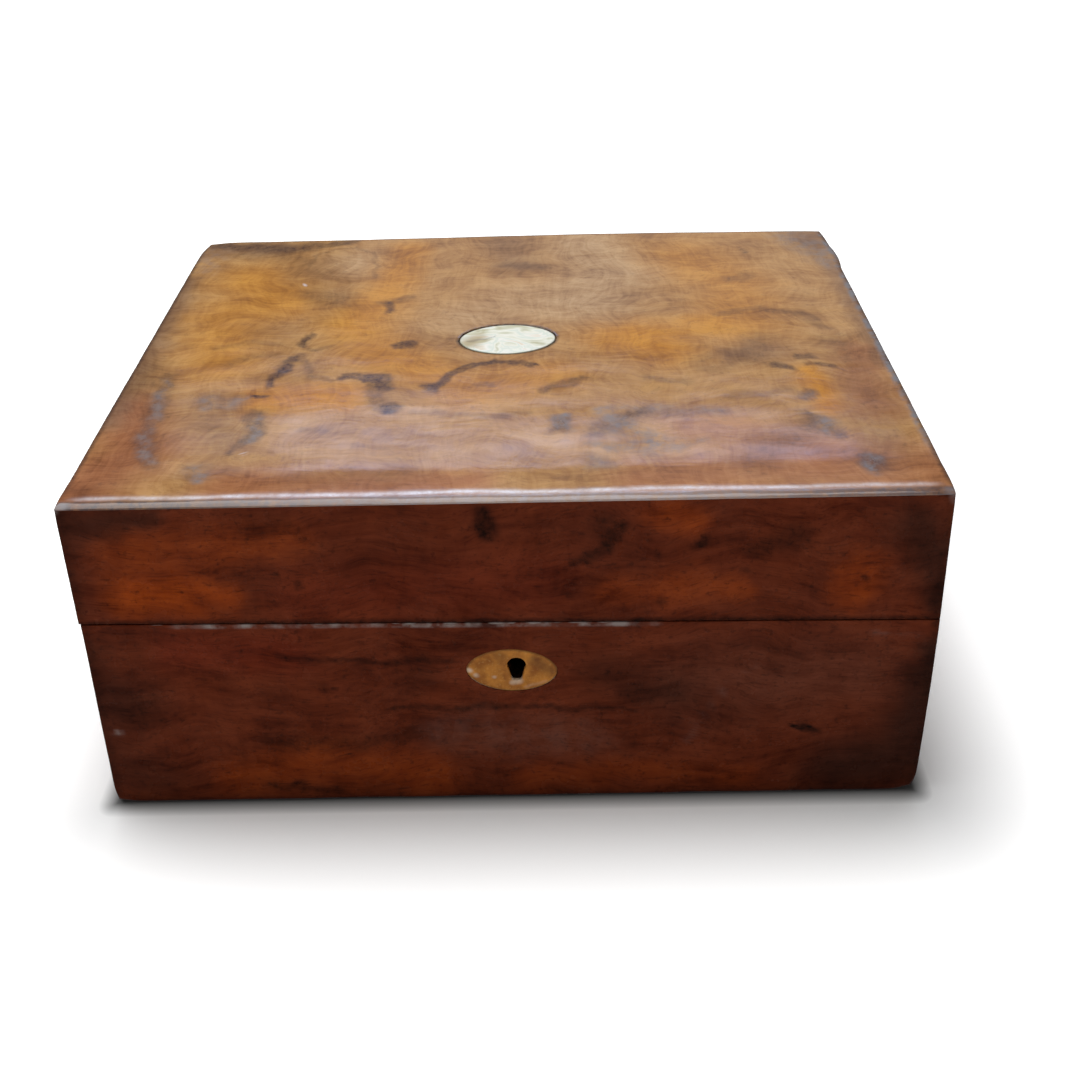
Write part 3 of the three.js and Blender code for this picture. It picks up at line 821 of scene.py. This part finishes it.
# The base's front is a ring of closed lines: from the edge of its face in to the escutcheon's seat, down to the seat's
# floor, in to the keyhole, through it, and out over the inner face and round the edges to where it began
def makeBaseFront():
    halfX, halfY, wall = case["width"] / 2, case["depth"] / 2, case["wall"]
    share, rise = rectangleLoop(
        spread(2.0, walls["lengthStep"] / halfX, walls["endStep"] / halfX, 4.0 / halfX),
        spread(1.0, 1.1 / 69.0, 0.3 / 69.0, 3.0 / 69.0) + 0.5
    )

    def rectangle(depthIn):
        x = share * (halfX - depthIn - case["jointGap"])
        return x, rise * (seamAt(x) - case["seamGap"] / 2)

    edgeX, edgeZ = rectangle(0.0)
    headings = np.arctan2(edgeZ - plateOval["y"], edgeX - plateOval["x"])
    seat = ovalReach(plateOval, plateOval["seat"], headings)
    seatX, seatZ = plateOval["x"] + seat * np.cos(headings), plateOval["y"] + seat * np.sin(headings)
    keyX, keyZ = keyholeEdge(seatX, seatZ)
    floor = plateOval["thickness"] + 0.3
    lines = []

    def put(x, z, depthIn):
        lines.append(np.stack([x, np.full_like(x, depthIn), z], -1))

    rim = np.array([0.0, 0.12, 0.25, 0.42, 0.7, 1.1, 1.7, 2.6]) / 40.0
    for t in np.concatenate([rim, np.linspace(rim[-1], 0.985, walls["faceLines"])[1:], [0.994, 1.0]]):
        put(edgeX + t * (seatX - edgeX), edgeZ + t * (seatZ - edgeZ), 0.0)
    put(seatX, seatZ, 0.3)
    put(seatX, seatZ, floor)
    for t in (0.5, 1.0):
        put(seatX + t * (keyX - seatX), seatZ + t * (keyZ - seatZ), floor)
    put(keyX, keyZ, wall)
    innerX, innerZ = rectangle(wall)
    for t in (0.15, 0.4, 0.7, 1.0):
        put(keyX + t * (innerX - keyX), keyZ + t * (innerZ - keyZ), wall)
    for depthIn in (8.0, 2.0, 0.9, 0.6, 0.42, 0.25, 0.12):
        put(*rectangle(depthIn), depthIn)
    points, faces = loft(np.array(lines), ring=True)
    flat = points[:, 1].copy()
    high = seamAt(points[:, 0]) - case["seamGap"] / 2
    inFace, fromSeam = ease(points[:, 1], high - points[:, 2], chippedArris(points[:, 0]))
    chipped = smooth(points[:, 2] - (high - fromSeam), 0.04, 0.3)
    chipped = chipped * (chippedArris(points[:, 0]) > walls["arris"] + 0.25)
    points[:, 1], points[:, 2] = inFace - halfY, high - fromSeam
    layers = wallMarks(points, points[:, 0], flat, frontStrokes, 100)
    layers["wearAndHighlight"] = np.maximum(layers["wearAndHighlight"], 0.55 * chipped)
    # painted shade: the escutcheon's seat and the keyhole's way through the wood go near black
    inSeat = (fromOval(plateOval, points[:, 0], points[:, 2]) < 0.6) & (flat > 0.2)
    layers["grimeAndShade"] = np.where(inSeat, 1.0, layers["grimeAndShade"])
    dusty = 0.75 * smooth(high - points[:, 2], 1.9, 0.9)
    dusty = dusty * smooth(np.abs(points[:, 0] + 30.0), 80.0, 60.0) * (flat < 0.9)
    layers["bloomAndReflection"] = np.maximum(layers["bloomAndReflection"], dusty * (0.7 + 0.5 * ripple(points[:, 0], points[:, 2], 9.0, 71)))
    points = roundBox(points)
    fade = smooth(halfX - np.abs(points[:, 0]), 1.0, 6.0)
    points[:, 1] -= np.where(flat < 0.01, 0.05 * ripple(points[:, 0], points[:, 2], 38.0, 60) * fade, 0.0)
    return makePiece(
        "base_front", (settle(setInBase(points)), faces), sideWalnut, "base_front_board", layers
    )


makeBaseFront()


# The bottom board is a closed section carried across the box, let in between the walls
def makeBottom():
    halfX, halfY = case["width"] / 2 - case["wall"] - 0.6, case["depth"] / 2 - case["wall"] - 0.1
    thick = case["bottom"]
    y, z = rectangleLoop(spread(2 * halfY, 4.0, 0.25, 0.5), spread(thick, 2.0, 0.25, 0.5) + thick / 2)
    inY, inZ = ease(halfY - np.abs(y), np.minimum(z, thick - z), 0.4)
    y, z = np.sign(y) * (halfY - inY), np.where(z < thick / 2, inZ, thick - inZ)
    x = spread(2 * halfX, 4.0, 0.25, 0.5)
    lines = np.stack(np.broadcast_arrays(x[:, None], y[None, :], z[None, :]), -1)
    points, faces = loft(lines)
    layers = paint(points[:, 0], points[:, 1], dict(dark=[
        (0.4, 0.9, [(-60.0, 40.0, 14.0), (-20.0, 52.0, 9.0)]), (0.35, 0.9, [(70.0, -44.0, 18.0)]),
        (0.5, 0.9, [(-118.0, -60.0, 8.0), (-100.0, -92.0, 8.0), (100.0, -92.0, 6.0)]),
    ]))
    return makePiece("base_bottom", (points, faces), dryWalnut, "base_bottom_board", layers)


makeBottom()


# Mother-of-pearl: polished shell, a pale film of many thin layers that turns from green to pink with the way its
# layers lie, with soft bands and a yellow end
def motherOfPearl():
    material = bpy.data.materials.new("polished_mother_of_pearl")
    material.use_nodes = True
    tree = material.node_tree
    tree.nodes.clear()
    place = addNode(tree, "ShaderNodeTexCoord").outputs["Object"]
    inMm = addNode(tree, "ShaderNodeVectorMath", {0: place, "Scale": 1000.0}, operation="SCALE").outputs[0]
    sway = addNode(tree, "ShaderNodeTexNoise", {"Vector": inMm, "Scale": 1 / 16.0, "Detail": 1.0})
    sway = addNode(tree, "ShaderNodeVectorMath", {0: sway.outputs["Color"], "Scale": 7.0}, operation="SCALE")
    flow = addNode(tree, "ShaderNodeVectorMath", {0: inMm, 1: sway.outputs[0]}, operation="ADD").outputs[0]
    slant = addNode(
        tree, "ShaderNodeMapping",
        {"Vector": flow, "Rotation": (0.0, 0.0, math.radians(-32.0)), "Scale": (1 / 16.0, 1 / 5.0, 1.0)}
    )
    bands = addNode(
        tree, "ShaderNodeTexNoise", {"Vector": slant.outputs[0], "Scale": 1.0, "Detail": 2.0, "Roughness": 0.5}
    )
    colour = addNode(tree, "ShaderNodeValToRGB", {"Fac": bands.outputs["Fac"]}, [
        (0.30, "#c4bf9c"), (0.76, "#e6d8be"), (0.42, "#e2e2cc"), (0.50, "#f4f2e4"), (0.58, "#e0e6d8"),
        (0.66, "#f6f3e8"),
    ]).outputs["Color"]
    marks = addNode(tree, "ShaderNodeAttribute", attribute_name="marks")
    zones = addNode(tree, "ShaderNodeAttribute", attribute_name="zones")
    yellow = addNode(tree, "ShaderNodeSeparateColor", {"Color": zones.outputs["Color"]}).outputs[0]
    streak = addNode(tree, "ShaderNodeSeparateColor", {"Color": marks.outputs["Color"]}).outputs[0]
    colour = addNode(tree, "ShaderNodeMix", {0: yellow, 6: colour, 7: linear("#b39c6c")}, data_type="RGBA").outputs[2]
    colour = addNode(tree, "ShaderNodeMix", {0: streak, 6: colour, 7: linear("#2c241c")}, data_type="RGBA").outputs[2]
    bump = addNode(tree, "ShaderNodeBump", {"Height": bands.outputs["Fac"], "Strength": 0.08, "Distance": 0.0003})
    shader = addNode(tree, "ShaderNodeBsdfPrincipled", {
        "Base Color": colour, "Roughness": 0.22, "Normal": bump.outputs[0], "IOR": 1.6, "Specular IOR Level": 0.5,
        "Thin Film Thickness": 380.0, "Thin Film IOR": 1.5,
    })
    addNode(tree, "ShaderNodeOutputMaterial", {"Surface": shader.outputs[0]})
    return material


pearlStrokes = dict(
    gold=[(0.8, 0.9, [(-14.5, 1, 3), (-11, 5, 3)])],
    dark=[(0.35, 0.8, [(-14, 2.5, 0.5), (-9.5, 4.4, 0.6), (-6, 6.5, 0.4)])],
)


# The pearl is a stack of ovals: over its slightly crowned face, round its arris and across its back
def makePearl():
    headings = np.linspace(0.0, 2 * math.pi, 160, endpoint=False)
    reach = ovalReach(pearlOval, 0.0, headings)
    top = case["height"]

    def ring(share, inside, z):
        far = (reach - inside) * share
        x, y = pearlOval["x"] + far * np.cos(headings), pearlOval["y"] + far * np.sin(headings)
        return np.stack([x, y, np.full_like(reach, z)], -1)

    lines = [ring(share, 0.25, top + 0.05 - 0.07 * share ** 4) for share in np.linspace(0.04, 1.0, 30)]
    back = top - pearlOval["thickness"]
    lines += [ring(1.0, 0.1, top - 0.08), ring(1.0, 0.0, top - 0.25), ring(1.0, 0.0, back), ring(0.4, 0.0, back)]
    points, faces = loft(np.array(lines))
    layers = paint(points[:, 0], points[:, 1], pearlStrokes)
    layers["dark"] = np.maximum(
        layers["dark"], 0.6 * smooth(fromOval(pearlOval, points[:, 0], points[:, 1]), -0.35, -0.12)
    )
    return makePiece("pearl_inlay", (points, faces), motherOfPearl(), "pearl_oval", layers)


makePearl()


# Tarnished sheet brass: filed flush and never lacquered, so it has gone brown, with brighter rubbed grains
def tarnishedBrass():
    material = bpy.data.materials.new("tarnished_sheet_brass")
    material.use_nodes = True
    tree = material.node_tree
    tree.nodes.clear()
    place = addNode(tree, "ShaderNodeTexCoord").outputs["Object"]
    inMm = addNode(tree, "ShaderNodeVectorMath", {0: place, "Scale": 1000.0}, operation="SCALE").outputs[0]
    film = addNode(tree, "ShaderNodeTexNoise", {"Vector": inMm, "Scale": 1 / 4.0, "Detail": 5.0, "Roughness": 0.65})
    colour = addNode(
        tree, "ShaderNodeValToRGB", {"Fac": film.outputs["Fac"]}, [(0.34, "#9a5816"), (0.66, "#cc8630")]
    ).outputs["Color"]
    grit = addNode(tree, "ShaderNodeTexNoise", {"Vector": inMm, "Scale": 1 / 0.9, "Detail": 3.0, "Roughness": 0.6})
    grains = addNode(
        tree, "ShaderNodeMapRange", {"Value": grit.outputs["Fac"], "From Min": 0.58, "From Max": 0.72, "To Max": 0.5}
    )
    colour = addNode(
        tree, "ShaderNodeMix", {0: grains.outputs[0], 6: colour, 7: linear("#cfa45c")}, data_type="RGBA"
    ).outputs[2]
    marks = addNode(tree, "ShaderNodeAttribute", attribute_name="marks")
    split = addNode(tree, "ShaderNodeSeparateColor", {"Color": marks.outputs["Color"]})
    # painted shade: the dark marks darken the plate's right side and its rim
    colour = addNode(
        tree, "ShaderNodeMix", {0: split.outputs[0], 6: colour, 7: linear("#4a2c16")}, data_type="RGBA"
    ).outputs[2]
    # the wear-and-highlight marks: rubbed wear, and painted highlight at the keyhole's foot and lower right edge
    colour = addNode(
        tree, "ShaderNodeMix", {0: split.outputs[2], 6: colour, 7: linear("#d8c8b4")}, data_type="RGBA"
    ).outputs[2]
    rough = addNode(
        tree, "ShaderNodeMapRange",
        {"Value": film.outputs["Fac"], "From Min": 0.3, "From Max": 0.7, "To Min": 0.42, "To Max": 0.6}
    )
    bump = addNode(tree, "ShaderNodeBump", {"Height": grit.outputs["Fac"], "Strength": 0.25, "Distance": 0.0002})
    shader = addNode(
        tree, "ShaderNodeBsdfPrincipled",
        {"Base Color": colour, "Metallic": 0.35, "Roughness": rough.outputs[0], "Normal": bump.outputs[0]}
    )
    addNode(tree, "ShaderNodeOutputMaterial", {"Surface": shader.outputs[0]})
    return material


# the wear-and-highlight strokes under the keyhole and along the lower right edge are painted highlight, those at the
# left tip rubbed wear; the dark strokes are painted shade on the right
plateStrokes = dict(
    wearAndHighlight=[
        (0.55, 0.8, [(1.2, 46.6, 0.9), (3.2, 46.8, 0.9)]), (0.8, 0.7, [(-12, 51.6, 0.8)]),
        (0.6, 0.7, [(-10.2, 49.8, 0.7)]), (0.5, 0.7, [(-4.8, 48.6, 0.6)]),
        (0.15, 0.7, [(5, 44.6, 0.5), (10.5, 47.2, 0.5)])
    ],
    dark=[(0.4, 0.8, [(8, 54.5, 2), (12, 51, 1.6)]), (0.3, 0.8, [(-3, 56.5, 2)])],
)


# The escutcheon is a ring of closed lines: its face from the oval in to the keyhole, through it, and back out behind
def makePlate():
    headings = np.linspace(0.0, 2 * math.pi, 180, endpoint=False)
    reach = ovalReach(plateOval, 0.0, headings)
    outX, outZ = plateOval["x"] + reach * np.cos(headings), plateOval["y"] + reach * np.sin(headings)
    keyX, keyZ = keyholeEdge(outX, outZ)
    lines = []
    section = [(0.0, 0.3), (0.0, 0.12), (0.02, 0.04)] + [(t, 0.0) for t in np.linspace(0.06, 0.94, 22)]
    section += [(0.97, 0.05), (1.0, 0.18), (1.0, plateOval["thickness"]), (0.0, plateOval["thickness"])]
    for t, depthIn in section:
        y = np.full_like(outX, depthIn - case["depth"] / 2)
        lines.append(np.stack([outX + t * (keyX - outX), y, outZ + t * (keyZ - outZ)], -1))
    points, faces = loft(np.array(lines), ring=True)
    layers = paint(points[:, 0], points[:, 2], plateStrokes, 0.3)
    # painted shade: a dark rim just inside the plate's edge
    layers["dark"] = np.maximum(
        layers["dark"], 0.5 * smooth(fromOval(plateOval, points[:, 0], points[:, 2]), -0.9, -0.1)
    )
    # painted highlight: the keyhole's lower wall is lighter
    inHole = points[:, 1] > 0.1 - case["depth"] / 2
    layers["wearAndHighlight"] = np.maximum(layers["wearAndHighlight"], 0.7 * inHole * smooth(points[:, 2], 49.0, 48.0))
    return makePiece(
        "escutcheon", (points, faces), tarnishedBrass(), "keyhole_escutcheon", layers
    )


makePlate()


# White paper in metres: half its side, how far the painted contact shadow reaches from the box's foot, where the glow
# begins and is full, and how light the paper is in the painted shadow and away from it
paper = dict(
    half=3.0, back=1.0, points=13, contactShadow=0.006, glowFrom=0.003, glowFull=0.040, shades=(0.12, 0.92), glow=0.46
)


# A flat grid under the box, left out of its reflections
def makeFloor():
    side = np.linspace(-paper["half"], paper["half"], paper["points"])
    x, y = np.meshgrid(side, side, indexing="ij")
    points = np.stack([x, y + paper["back"], np.zeros_like(x)], -1).reshape(-1, 3)
    index = np.arange(x.size).reshape(x.shape)
    faces = np.stack([index[:-1, :-1], index[1:, :-1], index[1:, 1:], index[:-1, 1:]], -1).reshape(-1, 4)
    mesh = bpy.data.meshes.new("floor")
    mesh.from_pydata(points.tolist(), [], faces.tolist())
    floor = bpy.data.objects.new("floor", mesh)
    bpy.context.scene.collection.objects.link(floor)
    material = bpy.data.materials.new("white_paper")
    material.use_nodes = True
    tree = material.node_tree
    shader = tree.nodes["Principled BSDF"]
    shader.inputs["Emission Color"].default_value = (1.0, 1.0, 1.0, 1.0)
    # how far the paper is from the box's foot: a painted contact shadow darkens it close to it, and away from it it
    # glows, a painted light that fades towards the box and shapes the edge of its shadow
    place = addNode(tree, "ShaderNodeTexCoord").outputs["Object"]
    apart = addNode(tree, "ShaderNodeVectorMath", {0: place}, operation="ABSOLUTE").outputs[0]
    foot = (case["width"] / 2 * mm, case["depth"] / 2 * mm, 0.0)
    apart = addNode(tree, "ShaderNodeVectorMath", {0: apart, 1: foot}, operation="SUBTRACT").outputs[0]
    apart = addNode(tree, "ShaderNodeVectorMath", {0: apart, 1: (0.0, 0.0, 0.0)}, operation="MAXIMUM").outputs[0]
    apart = addNode(tree, "ShaderNodeVectorMath", {0: apart}, operation="LENGTH").outputs["Value"]
    contactShadow = addNode(
        tree, "ShaderNodeMapRange",
        {"Value": apart, "From Max": paper["contactShadow"], "To Min": paper["shades"][0], "To Max": paper["shades"][1]}
    )
    glow = addNode(
        tree, "ShaderNodeMapRange",
        {"Value": apart, "From Min": paper["glowFrom"], "From Max": paper["glowFull"], "To Max": paper["glow"]}
    )
    tree.links.new(contactShadow.outputs[0], shader.inputs["Base Color"])
    tree.links.new(glow.outputs[0], shader.inputs["Emission Strength"])
    shader.inputs["Roughness"].default_value = 0.9
    shader.inputs["Specular IOR Level"].default_value = 0.1
    mesh.materials.append(material)
    floor.visible_glossy = False
    print("laid the floor")


makeFloor()

# Soft studio light: place, aim and size in metres, roll in degrees, power in watts
lights = dict(
    overhead=dict(place=(-0.55, 0.45, 1.9), aim=(0.0, 0.0, 0.05), size=(2.2, 2.2), power=50.0, colour="#ffffff"),
    behind=dict(
        place=(0.03, 1.30, 0.93), aim=(0.0, 0.0, 0.1), size=(0.85, 0.05), roll=-3.5, power=0.5, colour="#c4d4ff"
    ),
    behindWide=dict(
        place=(0.0, 1.31, 0.93), aim=(0.0, 0.0, 0.1), size=(1.1, 0.08), roll=-3.5, power=0.38, colour="#c4d4ff"
    ),
    backdrop=dict(place=(0.2, 2.5, 1.12), aim=(0.0, 0.0, 0.1), size=(1.3, 0.42), power=0.62, colour="#f2f2ff"),
    front=dict(place=(0.3, -1.4, 0.9), aim=(0.0, 0.0, 0.05), size=(1.6, 1.0), power=4.0, colour="#fff4e8"),
)
for name, look in lights.items():
    lamp = bpy.data.lights.new(name, "AREA")
    lamp.shape, lamp.size, lamp.size_y = "RECTANGLE", look["size"][0], look["size"][1]
    lamp.energy, lamp.color = look["power"], linear(look["colour"])[:3]
    holder = bpy.data.objects.new(name, lamp)
    holder.location = look["place"]
    turn = (Vector(look["aim"]) - Vector(look["place"])).to_track_quat("-Z", "Y")
    holder.rotation_euler = (turn @ Quaternion((0.0, 0.0, 1.0), math.radians(look.get("roll", 0.0)))).to_euler()
    bpy.context.scene.collection.objects.link(holder)

world = bpy.data.worlds.new("studio")
world.use_nodes = True
world.node_tree.nodes["Background"].inputs["Color"].default_value = (0.92, 0.96, 1.0, 1.0)
world.node_tree.nodes["Background"].inputs["Strength"].default_value = 0.12
bpy.context.scene.world = world
bpy.context.scene.view_settings.view_transform = "Standard"

# The camera at the photograph's place: millimetres, degrees, and shifts as shares of the frame
view = dict(place=(13.2, -421.1, 317.4), pitch=27.229, yaw=0.514, roll=-1.32, lens=44.889, shift=(0.0025, -0.1576))
cameraData = bpy.data.cameras.new("camera")
cameraData.sensor_width, cameraData.lens = 36.0, view["lens"]
cameraData.shift_x, cameraData.shift_y = view["shift"]
cameraData.clip_start, cameraData.clip_end = 0.01, 50.0
camera = bpy.data.objects.new("camera", cameraData)
turn = Matrix.Translation(Vector(view["place"]) * mm)
for degrees, axis in ((view["yaw"], "Z"), (90 - view["pitch"], "X"), (view["roll"], "Z")):
    turn = turn @ Matrix.Rotation(math.radians(degrees), 4, axis)
camera.matrix_world = turn
bpy.context.scene.collection.objects.link(camera)
bpy.context.scene.camera = camera
print("set the lights and the camera")

print("done")
